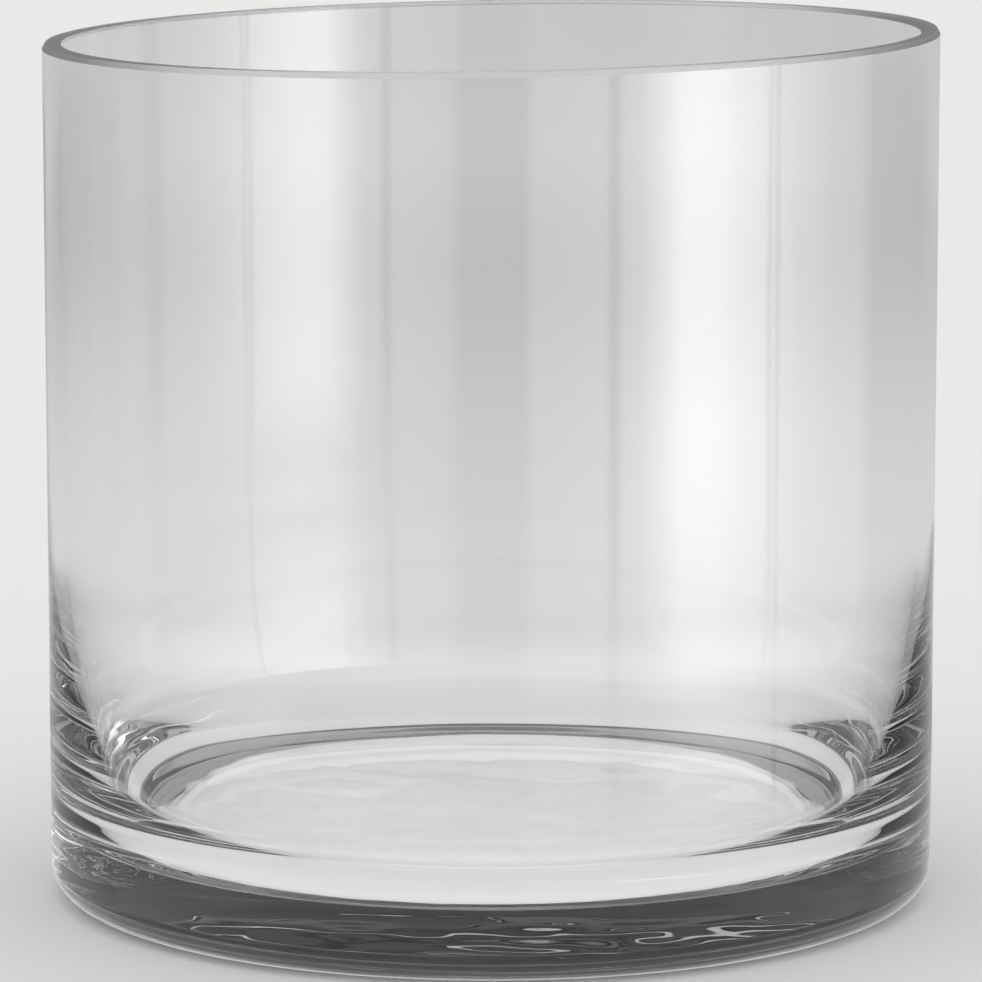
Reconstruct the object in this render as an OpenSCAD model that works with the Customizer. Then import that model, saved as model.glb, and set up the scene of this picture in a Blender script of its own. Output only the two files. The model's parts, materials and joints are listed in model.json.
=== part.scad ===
// Clear glass cylinder vase with a thick base, a wide inside corner and a cut, ground rim.
// The frame: the axis is +Z, the flat foot rests on z = 0, and the rim stands highest towards +X.

/* [Overall size] */
// Outside diameter of the glass
outer_d = 200; // [150:1:260]
// Height of the rim above the table, on the axis
height = 193.7; // [130:0.1:260]

/* [Wall and base] */
// Wall thickness in the straight upper part
wall_t = 4.2; // [3:0.1:7]
// Height above which the wall is straight
straight_z = 80; // [70:0.5:100]
// Radius of the slow curve that thickens the wall below that height
blend_r = 300; // [200:5:500]
// Base thickness under the flat floor
base_t = 12; // [8:0.1:16]
// Radius of the inside corner between wall and floor
corner_r = 24; // [16:1:36]
// Radius of the outside edge around the foot
foot_r = 7; // [3:0.5:10]

/* [Rim] */
// How much higher the cut rim stands at +X than on the axis
rim_rise = 1.65; // [0:0.05:4]
// Width of the outer arris across the rim
outer_arris_w = 0.6; // [0.3:0.05:1.2]
// Depth of the outer arris down the wall
outer_arris_h = 1.1; // [0.3:0.05:2]
// Width of the inner arris across the rim
inner_arris_w = 0.5; // [0.3:0.05:1.2]
// Depth of the inner arris down the wall
inner_arris_h = 0.5; // [0.3:0.05:2]

/* [Hidden] */
$fn = 180;
outer_r = outer_d / 2;
bore_r = outer_r - wall_t;
rim_tilt = atan(rim_rise / outer_r);

// The corner's circle touches the floor, and meets the slow curve where that leans by this angle
corner_z = base_t + corner_r;
lean = asin((straight_z - corner_z) / (blend_r - corner_r));
corner_x = bore_r - blend_r + (blend_r - corner_r) * cos(lean);
touch = [corner_x + corner_r * cos(lean), corner_z - corner_r * sin(lean)];

// The uncut blank stands this far above the finished rim, and cutters pass their faces by this much
cut_over = 2;
blank_top = height + rim_rise + cut_over;

module outside_profile() {
    square([outer_r - foot_r, foot_r]);
    translate([0, foot_r]) square([outer_r, blank_top - foot_r]);
    translate([outer_r - foot_r, foot_r]) circle(foot_r);
}

module inside_profile() {
    translate([corner_x, corner_z]) circle(corner_r);
    intersection() {
        translate([bore_r - blend_r, straight_z]) circle(blend_r);
        translate([0, touch[1]]) square([bore_r, straight_z - touch[1]]);
    }
    polygon([
        [0, base_t],
        [corner_x, base_t],
        [corner_x, corner_z],
        touch,
        [corner_x, touch[1]],
        [corner_x, straight_z],
        [bore_r, straight_z],
        [bore_r, blank_top + cut_over],
        [0, blank_top + cut_over]
    ]);
}

module glass_profile() {
    difference() {
        outside_profile();
        inside_profile();
    }
}

// Everything above the rim's flat face, with a slanted face down each edge for its arris
module rim_waste_profile() {
    outer_drop = outer_arris_h * (outer_arris_w + cut_over) / outer_arris_w;
    inner_drop = inner_arris_h * (inner_arris_w + cut_over) / inner_arris_w;
    waste_h = 2 * (rim_rise + cut_over);
    polygon([
        [0, -inner_drop],
        [bore_r - cut_over, -inner_drop],
        [bore_r + inner_arris_w, 0],
        [outer_r - outer_arris_w, 0],
        [outer_r + cut_over, -outer_drop],
        [outer_r + cut_over, waste_h],
        [0, waste_h]
    ]);
}

module vase() {
    color([0.86, 0.9, 0.9, 0.5])
        difference() {
            rotate_extrude() glass_profile();
            translate([0, 0, height]) rotate([0, -rim_tilt, 0]) rotate_extrude() rim_waste_profile();
        }
}

vase();
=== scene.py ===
import json
import math

import bpy
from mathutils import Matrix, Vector, noise


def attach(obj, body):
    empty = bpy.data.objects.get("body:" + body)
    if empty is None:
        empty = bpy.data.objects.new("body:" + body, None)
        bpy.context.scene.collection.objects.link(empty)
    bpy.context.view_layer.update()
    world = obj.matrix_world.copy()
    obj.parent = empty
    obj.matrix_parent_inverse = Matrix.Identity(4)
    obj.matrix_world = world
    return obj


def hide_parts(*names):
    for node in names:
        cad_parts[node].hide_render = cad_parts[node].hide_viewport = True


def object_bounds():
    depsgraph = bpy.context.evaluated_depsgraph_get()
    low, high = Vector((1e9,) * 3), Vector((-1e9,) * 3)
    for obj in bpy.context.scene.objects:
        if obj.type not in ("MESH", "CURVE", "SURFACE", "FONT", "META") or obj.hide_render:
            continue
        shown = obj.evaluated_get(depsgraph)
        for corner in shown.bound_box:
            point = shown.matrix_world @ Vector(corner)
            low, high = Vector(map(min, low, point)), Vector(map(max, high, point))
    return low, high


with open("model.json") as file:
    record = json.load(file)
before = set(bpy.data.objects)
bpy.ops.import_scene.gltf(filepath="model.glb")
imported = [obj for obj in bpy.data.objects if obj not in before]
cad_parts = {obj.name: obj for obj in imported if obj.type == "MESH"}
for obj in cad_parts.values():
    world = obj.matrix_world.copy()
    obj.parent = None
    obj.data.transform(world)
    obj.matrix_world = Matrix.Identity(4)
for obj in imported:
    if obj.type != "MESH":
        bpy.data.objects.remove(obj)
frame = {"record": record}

cadLow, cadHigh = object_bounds()
mouth = next(m for m in frame["record"]["mounts"] if m["name"] == "mouth")
print("frame loaded")


def hexToLinear(text):
    # sRGB hex to the linear colour that the shader nodes expect
    out = []
    for i in (1, 3, 5):
        c = int(text[i:i + 2], 16) / 255
        out.append(c / 12.92 if c <= 0.04045 else ((c + 0.055) / 1.055) ** 2.4)
    return (*out, 1.0)


def addNode(tree, kind, settings=None, values=None, links=None):
    # one shader node: its own settings, then socket values, then what feeds its sockets
    node = tree.nodes.new(kind)
    for key, value in (settings or {}).items():
        setattr(node, key, value)
    for key, value in (values or {}).items():
        node.inputs[key].default_value = value
    for key, source in (links or {}).items():
        tree.links.new(source, node.inputs[key])
    return node


def newMaterial(name):
    mat = bpy.data.materials.new(name)
    mat.use_nodes = True
    mat.node_tree.nodes.clear()
    return mat, mat.node_tree


vase = {
    "outerRadius": (cadHigh.x - cadLow.x) / 2,
    "boreRadius": mouth["dims"]["r_mm"] / 1000,
    "baseThickness": 0.012,    # flat floor above the table
    "cornerRadius": 0.024,     # inside corner between wall and floor
    "straightFrom": 0.08,      # above this height the wall is straight
    "blendRadius": 0.3,        # slow curve of the inside face below it
    "footRadius": 0.007,
    "rimRise": 0.00165,        # the cut rim is this much higher at +X than on the axis
    "outerArris": (0.0006, 0.0011),
    "innerArris": (0.0005, 0.0005),
    "arrisDrift": 0.8,         # hand grinding: the inner arris is wider at +X and nearly gone at -X
    "groundEdge": 0.0001,      # the matt grinding ends within this height
    "riseFrom": 0.09,          # the slant of the rim eases in above this height
    "rimBand": 0.002,          # and is complete this far below the rim
    "around": 360,             # steps of the spin
    "steps": {"underside": 46, "foot": 10, "wall": 60, "bore": 34, "blend": 16, "corner": 44, "floor": 26},
    "crease": 20,              # degrees; sharper edges stay crisp
    "near": 1e-5,              # places closer than this count as one
}


def span(a, b, n):
    # n equal steps from a to b, without a itself
    return [a + (b - a) * (i + 1) / n for i in range(n)]


def arc(cx, cz, r, a0, a1, n):
    return [(cx + r * math.cos(a), cz + r * math.sin(a)) for a in span(a0, a1, n)]


def vaseProfile(v):
    # half section from the middle of the underside, out, up, over the rim and down to the floor
    ro, rb = v["outerRadius"], v["boreRadius"]
    foot, corner, blend = v["footRadius"], v["cornerRadius"], v["blendRadius"]
    rimZ = cadHigh.z - v["rimRise"]
    oaW, oaH = v["outerArris"]
    iaW, iaH = v["innerArris"]
    edge = v["groundEdge"]
    steps = v["steps"]
    cz = v["baseThickness"] + corner
    lean = math.asin((v["straightFrom"] - cz) / (blend - corner))
    cx = rb - blend + (blend - corner) * math.cos(lean)
    pts = [(r, 0) for r in [0] + span(0, ro - foot, steps["underside"])]
    pts += arc(ro - foot, foot, foot, -math.pi / 2, 0, steps["foot"])
    pts += [(ro, z) for z in span(foot, rimZ - oaH - edge, steps["wall"])] + [(ro, rimZ - oaH)]
    pts += [(ro - oaW, rimZ), (rb + iaW, rimZ), (rb, rimZ - iaH), (rb, rimZ - iaH - edge)]
    pts += [(rb, z) for z in span(rimZ - iaH - edge, v["straightFrom"], steps["bore"])]
    pts += arc(rb - blend, v["straightFrom"], blend, 0, -lean, steps["blend"])
    pts += arc(cx, cz, corner, -lean, -math.pi / 2, steps["corner"])
    pts += [(r, v["baseThickness"]) for r in span(cx, 0, steps["floor"])]
    return pts


def spinProfile(pts, v, name):
    # a point is drawn out along the section, and the section is spun round the upright axis
    bpy.ops.object.select_all(action="DESELECT")
    bpy.ops.mesh.primitive_plane_add(size=0.001, location=(0, 0, 0))
    obj = bpy.context.object
    obj.name = obj.data.name = name
    bpy.ops.object.mode_set(mode="EDIT")
    bpy.ops.mesh.merge(type="CENTER")
    bpy.ops.transform.translate(value=(pts[0][0], 0, pts[0][1]))
    for (r0, z0), (r1, z1) in zip(pts, pts[1:]):
        bpy.ops.mesh.extrude_region_move(TRANSFORM_OT_translate={"value": (r1 - r0, 0, z1 - z0)})
    bpy.ops.mesh.select_all(action="SELECT")
    bpy.ops.mesh.spin(steps=v["around"], angle=2 * math.pi, center=(0, 0, 0), axis=(0, 0, 1))
    bpy.ops.mesh.select_all(action="SELECT")
    bpy.ops.mesh.remove_doubles(threshold=v["near"])
    bpy.ops.mesh.normals_make_consistent(inside=False)
    bpy.ops.object.mode_set(mode="OBJECT")
    return obj


vessel = spinProfile(vaseProfile(vase), vase, "vase_glass")
print("vessel spun:", len(vessel.data.vertices), "vertices")


def smooth(x, a, b):
    t = min(max((x - a) / (b - a), 0), 1)
    return t * t * (3 - 2 * t)


# surface relief that the hot shaping leaves, in metres; a pair of heights or radii is where it fades
relief = {
    "chill": 0.0002,           # wrinkles of the underside, frozen on the cold marver
    "chillSize": 0.022,
    "chillEdge": 0.016,        # they fade from this far inside the side
    "chillFacing": 0.98,       # only on faces that look down at least this much
    "rings": 0.000025,         # turning rings on the inside of the thick part
    "ringPitch": 0.0045,
    "ringStretch": 0.6,        # change on the way round
    "ringTop": (0.06, 0.1),
    "ringStart": (0.03, 0.07),
    "wave": 0.00006,           # lazy upright waves of the blown wall
    "outerWave": (3.4, 0.09, 5),         # change on the way round, height of one wave, shift
    "outerStart": (0.008, 0.04),
    "innerWave": (3.1, 0.08),
    "innerStart": (0.02, 0.05),
    "waveFade": 0.02,          # the waves die out this far below the rim
    "swirl": 0.00003,          # cloudy swirl of the inside floor
    "swirlSize": 0.018,
    "swirlEdge": (0.05, 0.085),
}


def shapeVessel(obj, v, w):
    # relief of the faces, the drifting inner arris and the slanted cut of the rim
    me = obj.data
    ro, rb = v["outerRadius"], v["boreRadius"]
    rimZ = cadHigh.z - v["rimRise"]
    iaW, iaH = v["innerArris"]
    outerTurn, outerHeight, outerShift = w["outerWave"]
    innerTurn, innerHeight = w["innerWave"]
    ground = me.attributes.new("ground", "FLOAT", "POINT")
    normals = [p.normal.copy() for p in me.vertices]
    for p, n in zip(me.vertices, normals):
        x, y, z = p.co
        r = math.hypot(x, y)
        inner = r < (ro + rb) / 2
        cut = z > rimZ - (iaH if inner else v["outerArris"][1]) - v["near"]
        ground.data[p.index].value = 1.0 if cut else 0.0
        dx, dy = (x / r, y / r) if r > 1e-6 else (0, 0)
        calm = 1 - smooth(z, rimZ - w["waveFade"], rimZ - v["rimBand"])
        if cut:
            push = 0
        elif n.z < -w["chillFacing"] and z < v["footRadius"]:
            spot = Vector((x, y, 0)) / w["chillSize"]
            fade = 1 - smooth(r, ro - w["chillEdge"], ro - v["footRadius"])
            push = -w["chill"] * (0.5 + 0.5 * noise.fractal(spot, 0.8, 2.0, 2)) * fade
        elif r > ro - v["near"]:
            spot = Vector((dx * outerTurn, dy * outerTurn, z / outerHeight + outerShift))
            push = -w["wave"] * (0.5 + 0.5 * noise.noise(spot)) * smooth(z, *w["outerStart"]) * calm
        else:
            low = 1 - smooth(z, *w["ringTop"])
            spot = Vector((dx * w["ringStretch"], dy * w["ringStretch"], z / w["ringPitch"]))
            push = w["rings"] * noise.noise(spot) * low * smooth(r, *w["ringStart"])
            spot = Vector((dx * innerTurn, dy * innerTurn, z / innerHeight))
            push += w["wave"] * noise.noise(spot) * smooth(z, *w["innerStart"]) * calm
            spot = Vector((x, y, 0)) / w["swirlSize"]
            push += w["swirl"] * noise.fractal(spot, 0.7, 2.0, 3) * (1 - smooth(r, *w["swirlEdge"]))
        p.co += n * push
        if inner and z > rimZ - v["near"]:
            p.co += Vector((dx, dy, 0)) * iaW * v["arrisDrift"] * x / ro
        elif inner and z > rimZ - iaH - 1.5 * v["groundEdge"]:
            p.co.z -= iaH * v["arrisDrift"] * x / ro
        p.co.z += v["rimRise"] * x / ro * smooth(z, v["riseFrom"], rimZ - v["rimBand"])
    me.update()


shapeVessel(vessel, vase, relief)
bpy.ops.object.select_all(action="DESELECT")
vessel.select_set(True)
bpy.context.view_layer.objects.active = vessel
bpy.ops.object.shade_smooth_by_angle(angle=math.radians(vase["crease"]))
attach(vessel, "root")
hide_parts("vase")

glass = {
    "ior": 1.52,
    "tint": "#ffffff",
    "absorption": "#cac8cb",
    "density": 7.0,            # per metre
    "groundRoughness": 0.65,
    "groundSpread": 0.12,      # the roughness differs this much either way
    "groundTint": "#cfcecc",
    "grain": 0.0015,           # size of the grinding marks, coarser than real so that they show
    "grainRange": (0.3, 0.7),
    "groundClear": 0.8,        # how much light still goes through the ground rim
}


def glassMaterial(g):
    # clear soda-lime glass, fire-polished: hard highlights and see-through walls;
    # its sawn and ground rim scatters light, which draws the pale line round the mouth
    mat, tree = newMaterial("sodaLimeGlassFirePolished")
    mark = addNode(tree, "ShaderNodeAttribute", {"attribute_name": "ground"})
    body = addNode(tree, "ShaderNodeBsdfPrincipled", {},
                   {"Base Color": hexToLinear(g["tint"]), "Roughness": 0.0, "IOR": g["ior"],
                    "Transmission Weight": 1.0})
    place = addNode(tree, "ShaderNodeTexCoord")
    grain = addNode(tree, "ShaderNodeTexNoise", {},
                    {"Scale": 1 / g["grain"], "Detail": 4.0, "Roughness": 0.7},
                    {"Vector": place.outputs["Object"]})
    low, high = g["grainRange"]
    tone = addNode(tree, "ShaderNodeMapRange", {},
                   {"From Min": low, "From Max": high, "To Min": g["groundRoughness"] - g["groundSpread"],
                    "To Max": g["groundRoughness"] + g["groundSpread"]}, {"Value": grain.outputs["Fac"]})
    matt = addNode(tree, "ShaderNodeBsdfPrincipled", {},
                   {"Base Color": hexToLinear(g["tint"]), "IOR": g["ior"], "Transmission Weight": 1.0},
                   {"Roughness": tone.outputs["Result"]})
    powder = addNode(tree, "ShaderNodeBsdfDiffuse", {}, {"Color": hexToLinear(g["groundTint"])})
    sawn = addNode(tree, "ShaderNodeMixShader", {}, {0: g["groundClear"]},
                   {1: powder.outputs["BSDF"], 2: matt.outputs["BSDF"]})
    both = addNode(tree, "ShaderNodeMixShader", {}, {},
                   {0: mark.outputs["Fac"], 1: body.outputs["BSDF"], 2: sawn.outputs["Shader"]})
    inside = addNode(tree, "ShaderNodeVolumeAbsorption", {},
                     {"Color": hexToLinear(g["absorption"]), "Density": g["density"]})
    addNode(tree, "ShaderNodeOutputMaterial", {}, {},
            {"Surface": both.outputs["Shader"], "Volume": inside.outputs["Volume"]})
    return mat


vessel.data.materials.clear()
vessel.data.materials.append(glassMaterial(glass))
print("glass done")

# what stands around the vase; radiances are for rays that come through or off the glass
studio = {
    "floorSize": 30.0,
    "floorGap": 0.0003,        # air under the foot
    "floorSeen": "#f2f2f1",
    "floorTint": (1, 0.99, 0.985, 1),
    "floorFar": 0.58,
    "floorLeast": 0.04,
    # painted light and painted shade on the floor, seen in the glass only: centre, half sizes, gain
    "spots": [((0, 0, 0), (2.6, 2.6), 0.12),
              ((0, 0, 0), (0.14, 0.14), 0.4),            # gathered light under the foot
              ((0, 0.17, 0), (0.4, 0.09), 0.12),
              ((0, 1.1, 0), (1.2, 0.7), -0.1),
              ((1.5, 0.8, 0), (1.3, 1.3), -0.25),
              ((-1.5, 0.8, 0), (1.3, 1.3), -0.35)],
    # shade round the foot, only for light that comes through the solid base
    "footShades": [((0, 0.19, 0), (0.2, 0.12), -1.1),
                   ((0.3, 0.1, 0), (0.22, 0.3), -0.6),
                   ((-0.3, 0.1, 0), (0.22, 0.3), -0.5)],
    "fewFaces": 3.0,           # such light has crossed fewer faces of glass than this
    # share of that floor light by the bearing in degrees: 0 towards the viewer, 90 to the right
    "floorTurn": [(-50, 1.0), (-38, 0.6), (38, 0.6), (50, 1.0)],
    "turnFrom": (0.13, 0.2),   # it counts beyond this distance
    "mirrorFrom": (0.2, 0.28), # beyond this the floor also mirrors the screen
    "screenRadius": 1.4,
    "screenSides": 180,
    "screenLow": -0.5,         # the part below the floor stands for the mirror image
    "screenHigh": 0.45,
    "screenFade": (-0.2, -0.08, 0.45),   # two heights, and the share it weakens to in the mirror image
    # the screen round the vase: a big light panel at the right,
    # and a soft front light with a gap for the camera
    "screen": [(-100, 0.0), (-50, 0.05), (-36, 0.25), (-12, 0.3), (-9, 0.0), (8, 0.0), (11, 0.6), (28.5, 0.9),
               (29.4, 0.0), (31, 0.0), (31.8, 1.0), (37, 1.4), (41, 2.4), (48.5, 3.9), (57, 3.8), (66, 3.1),
               (73.4, 2.3), (73.8, 0.3), (75.2, 0.3), (75.7, 2.0), (86, 1.2), (97, 0.7), (109, 0.45),
               (110, 0.0)],
    # radiance of the room by the sine of the height angle
    "sky": [(0.0, 0.0), (0.03, 0.06), (0.1, 0.06), (0.16, 0.01), (0.2, 0.07), (0.3, 0.03), (0.45, 0.06),
            (0.58, 0.45), (0.78, 0.45), (0.87, 0.15), (1.0, 0.1)],
    "skySeen": "#f6f6f5",
    "skyTint": (1.0, 0.97, 1.015, 1),
    "rearLight": ((0, 0.5, 0.866), (0.3, 0.3), 0.4),
}


def spot(tree, place, centre, halfSize, gain):
    # a soft oval spot, as a number to add
    off = addNode(tree, "ShaderNodeVectorMath", {"operation": "SUBTRACT"}, {1: centre}, {0: place})
    size = addNode(tree, "ShaderNodeVectorMath", {"operation": "DIVIDE"}, {1: (*halfSize, halfSize[0])},
                   {0: off.outputs["Vector"]})
    away = addNode(tree, "ShaderNodeVectorMath", {"operation": "LENGTH"}, {}, {0: size.outputs["Vector"]})
    fall = addNode(tree, "ShaderNodeMapRange", {"interpolation_type": "SMOOTHSTEP"},
                   {"To Min": gain, "To Max": 0.0}, {"Value": away.outputs["Value"]})
    return fall.outputs["Result"]


def toneRamp(tree, value, tones):
    # grey levels along a value from 0 to 1, eased between the stops
    ramp = addNode(tree, "ShaderNodeValToRGB", {}, {}, {"Fac": value})
    ramp.color_ramp.interpolation = "EASE"
    marks = ramp.color_ramp.elements
    while len(marks) < len(tones):
        marks.new(0.5)
    for mark, (at, tone) in zip(marks, tones):
        mark.position = at
        mark.color = (tone, tone, tone, 1)
    return ramp.outputs["Color"]


def byBearing(tree, place, tones):
    # tones by the bearing round the vase: 0 towards the viewer, 90 to the right, -90 to the left
    turned = addNode(tree, "ShaderNodeVectorRotate", {"rotation_type": "Z_AXIS"}, {"Angle": math.pi / 2},
                     {"Vector": place})
    split = addNode(tree, "ShaderNodeSeparateXYZ", {}, {}, {"Vector": turned.outputs["Vector"]})
    bearing = addNode(tree, "ShaderNodeMath", {"operation": "ARCTAN2"}, {},
                      {0: split.outputs["Y"], 1: split.outputs["X"]})
    share = addNode(tree, "ShaderNodeMapRange", {}, {"From Min": -math.pi, "From Max": math.pi},
                    {"Value": bearing.outputs["Value"]})
    return toneRamp(tree, share.outputs["Result"], [(0.5 + at / 360, tone) for at, tone in tones])


def combine(tree, how, a, b):
    return addNode(tree, "ShaderNodeMath", {"operation": how}, {}, {0: a, 1: b}).outputs["Value"]


def floorMaterial(s):
    # matt white paper to the eye; to the glass a glow of painted light and painted shade, with a painted
    # reflection of the screen further out, which gives the glass its grey fill
    mat, tree = newMaterial("paperWithPaintedLightInGlass")
    place = addNode(tree, "ShaderNodeTexCoord").outputs["Object"]
    path = addNode(tree, "ShaderNodeLightPath")
    base = addNode(tree, "ShaderNodeValue")
    base.outputs["Value"].default_value = s["floorFar"]
    glow = base.outputs["Value"]
    for centre, halfSize, gain in s["spots"]:
        glow = combine(tree, "ADD", glow, spot(tree, place, centre, halfSize, gain))
    few = addNode(tree, "ShaderNodeMath", {"operation": "LESS_THAN"}, {1: s["fewFaces"]},
                  {0: path.outputs["Transmission Depth"]})
    # painted shade round the foot
    for shade in s["footShades"]:
        glow = combine(tree, "ADD", glow, combine(tree, "MULTIPLY", spot(tree, place, *shade),
                                                  few.outputs["Value"]))
    least = addNode(tree, "ShaderNodeMath", {"operation": "MAXIMUM"}, {1: s["floorLeast"]}, {0: glow})
    glow = least.outputs["Value"]
    away = addNode(tree, "ShaderNodeVectorMath", {"operation": "LENGTH"}, {}, {0: place})
    turnFrom, turnTo = s["turnFrom"]
    mirrorFrom, mirrorTo = s["mirrorFrom"]
    close = addNode(tree, "ShaderNodeMapRange", {"interpolation_type": "SMOOTHSTEP"},
                    {"From Min": turnFrom, "From Max": turnTo, "To Min": 1.0, "To Max": 0.0},
                    {"Value": away.outputs["Value"]})
    turn = combine(tree, "MAXIMUM", close.outputs["Result"], byBearing(tree, place, s["floorTurn"]))
    glow = combine(tree, "MULTIPLY", glow, turn)
    # painted light: for rays from the glass the floor glows, standing in for the lit floor
    light = addNode(tree, "ShaderNodeEmission", {}, {"Color": s["floorTint"]}, {"Strength": glow})
    # painted reflection: further out the floor lets through the part of the screen below it
    share = addNode(tree, "ShaderNodeMapRange", {"interpolation_type": "SMOOTHSTEP"},
                    {"From Min": mirrorFrom, "From Max": mirrorTo}, {"Value": away.outputs["Value"]})
    through = addNode(tree, "ShaderNodeBsdfTransparent", {}, {}, {"Color": share.outputs["Result"]})
    seen = addNode(tree, "ShaderNodeAddShader", {}, {},
                   {0: light.outputs["Emission"], 1: through.outputs["BSDF"]})
    paper = addNode(tree, "ShaderNodeBsdfDiffuse", {}, {"Color": hexToLinear(s["floorSeen"])})
    both = addNode(tree, "ShaderNodeMixShader", {}, {},
                   {0: path.outputs["Is Camera Ray"], 1: seen.outputs["Shader"], 2: paper.outputs["BSDF"]})
    addNode(tree, "ShaderNodeOutputMaterial", {}, {}, {"Surface": both.outputs["Shader"]})
    return mat


def makeFloor(s):
    bpy.ops.object.select_all(action="DESELECT")
    bpy.ops.mesh.primitive_plane_add(size=s["floorSize"], location=(0, 0, cadLow.z - s["floorGap"]))
    floor = bpy.context.object
    floor.name = "floor"
    floor.data.materials.append(floorMaterial(s))


def makeSky(s):
    # a pale room to the eye, and a dim one in the glass
    world = bpy.data.worlds.new("studio")
    bpy.context.scene.world = world
    world.use_nodes = True
    tree = world.node_tree
    tree.nodes.clear()
    place = addNode(tree, "ShaderNodeTexCoord").outputs["Generated"]
    split = addNode(tree, "ShaderNodeSeparateXYZ", {}, {}, {"Vector": place})
    rear = spot(tree, place, *s["rearLight"])
    total = combine(tree, "ADD", toneRamp(tree, split.outputs["Z"], s["sky"]), rear)
    dim = addNode(tree, "ShaderNodeBackground", {}, {"Color": s["skyTint"]}, {"Strength": total})
    pale = addNode(tree, "ShaderNodeBackground", {}, {"Color": hexToLinear(s["skySeen"]), "Strength": 1.0})
    path = addNode(tree, "ShaderNodeLightPath")
    clear = combine(tree, "MAXIMUM", path.outputs["Is Glossy Ray"], path.outputs["Is Transmission Ray"])
    both = addNode(tree, "ShaderNodeMixShader", {}, {},
                   {0: clear, 1: pale.outputs["Background"], 2: dim.outputs["Background"]})
    addNode(tree, "ShaderNodeOutputWorld", {}, {}, {"Surface": both.outputs["Shader"]})


def makeScreen(s):
    # upright light round the vase, seen in the glass only
    bpy.ops.object.select_all(action="DESELECT")
    low, high = s["screenLow"], s["screenHigh"]
    middle = (low + high) / 2
    bpy.ops.mesh.primitive_cylinder_add(vertices=s["screenSides"], radius=s["screenRadius"], depth=high - low,
                                        end_fill_type="NOTHING", location=(0, 0, middle))
    screen = bpy.context.object
    screen.name = "screen"
    mat, tree = newMaterial("stretchedDiffuserCloth")
    place = addNode(tree, "ShaderNodeTexCoord").outputs["Object"]
    split = addNode(tree, "ShaderNodeSeparateXYZ", {}, {}, {"Vector": place})
    fadeLow, fadeHigh, fadeTo = s["screenFade"]
    fade = addNode(tree, "ShaderNodeMapRange", {},
                   {"From Min": fadeLow - middle, "From Max": fadeHigh - middle,
                    "To Min": fadeTo}, {"Value": split.outputs["Z"]})
    tone = combine(tree, "MULTIPLY", byBearing(tree, place, s["screen"]), fade.outputs["Result"])
    light = addNode(tree, "ShaderNodeEmission", {}, {}, {"Strength": tone})
    through = addNode(tree, "ShaderNodeBsdfTransparent")
    both = addNode(tree, "ShaderNodeAddShader", {}, {},
                   {0: light.outputs["Emission"], 1: through.outputs["BSDF"]})
    addNode(tree, "ShaderNodeOutputMaterial", {}, {}, {"Surface": both.outputs["Shader"]})
    mat.cycles.emission_sampling = "NONE"
    screen.data.materials.append(mat)
    screen.visible_camera = False
    screen.visible_diffuse = False
    screen.visible_shadow = False


makeFloor(studio)
makeSky(studio)
makeScreen(studio)
print("studio done")

camera = {
    "at": (0, -1.2975, 0.299),
    "pitch": 9.139,            # degrees below level
    "lens": 213.2,
    "sensor": 36,
    "clip": (0.05, 60),
}


def makeCamera(c):
    data = bpy.data.cameras.new("camera")
    data.lens = c["lens"]
    data.sensor_width = c["sensor"]
    data.clip_start, data.clip_end = c["clip"]
    obj = bpy.data.objects.new("camera", data)
    obj.location = c["at"]
    obj.rotation_euler = (math.radians(90 - c["pitch"]), 0, 0)
    bpy.context.scene.collection.objects.link(obj)
    bpy.context.scene.camera = obj


makeCamera(camera)
print("camera set")

scene = bpy.context.scene
scene.view_settings.view_transform = "Standard"
scene.cycles.max_bounces = 32
scene.cycles.transmission_bounces = 32
scene.cycles.glossy_bounces = 16
scene.cycles.diffuse_bounces = 4
scene.cycles.sample_clamp_indirect = 10
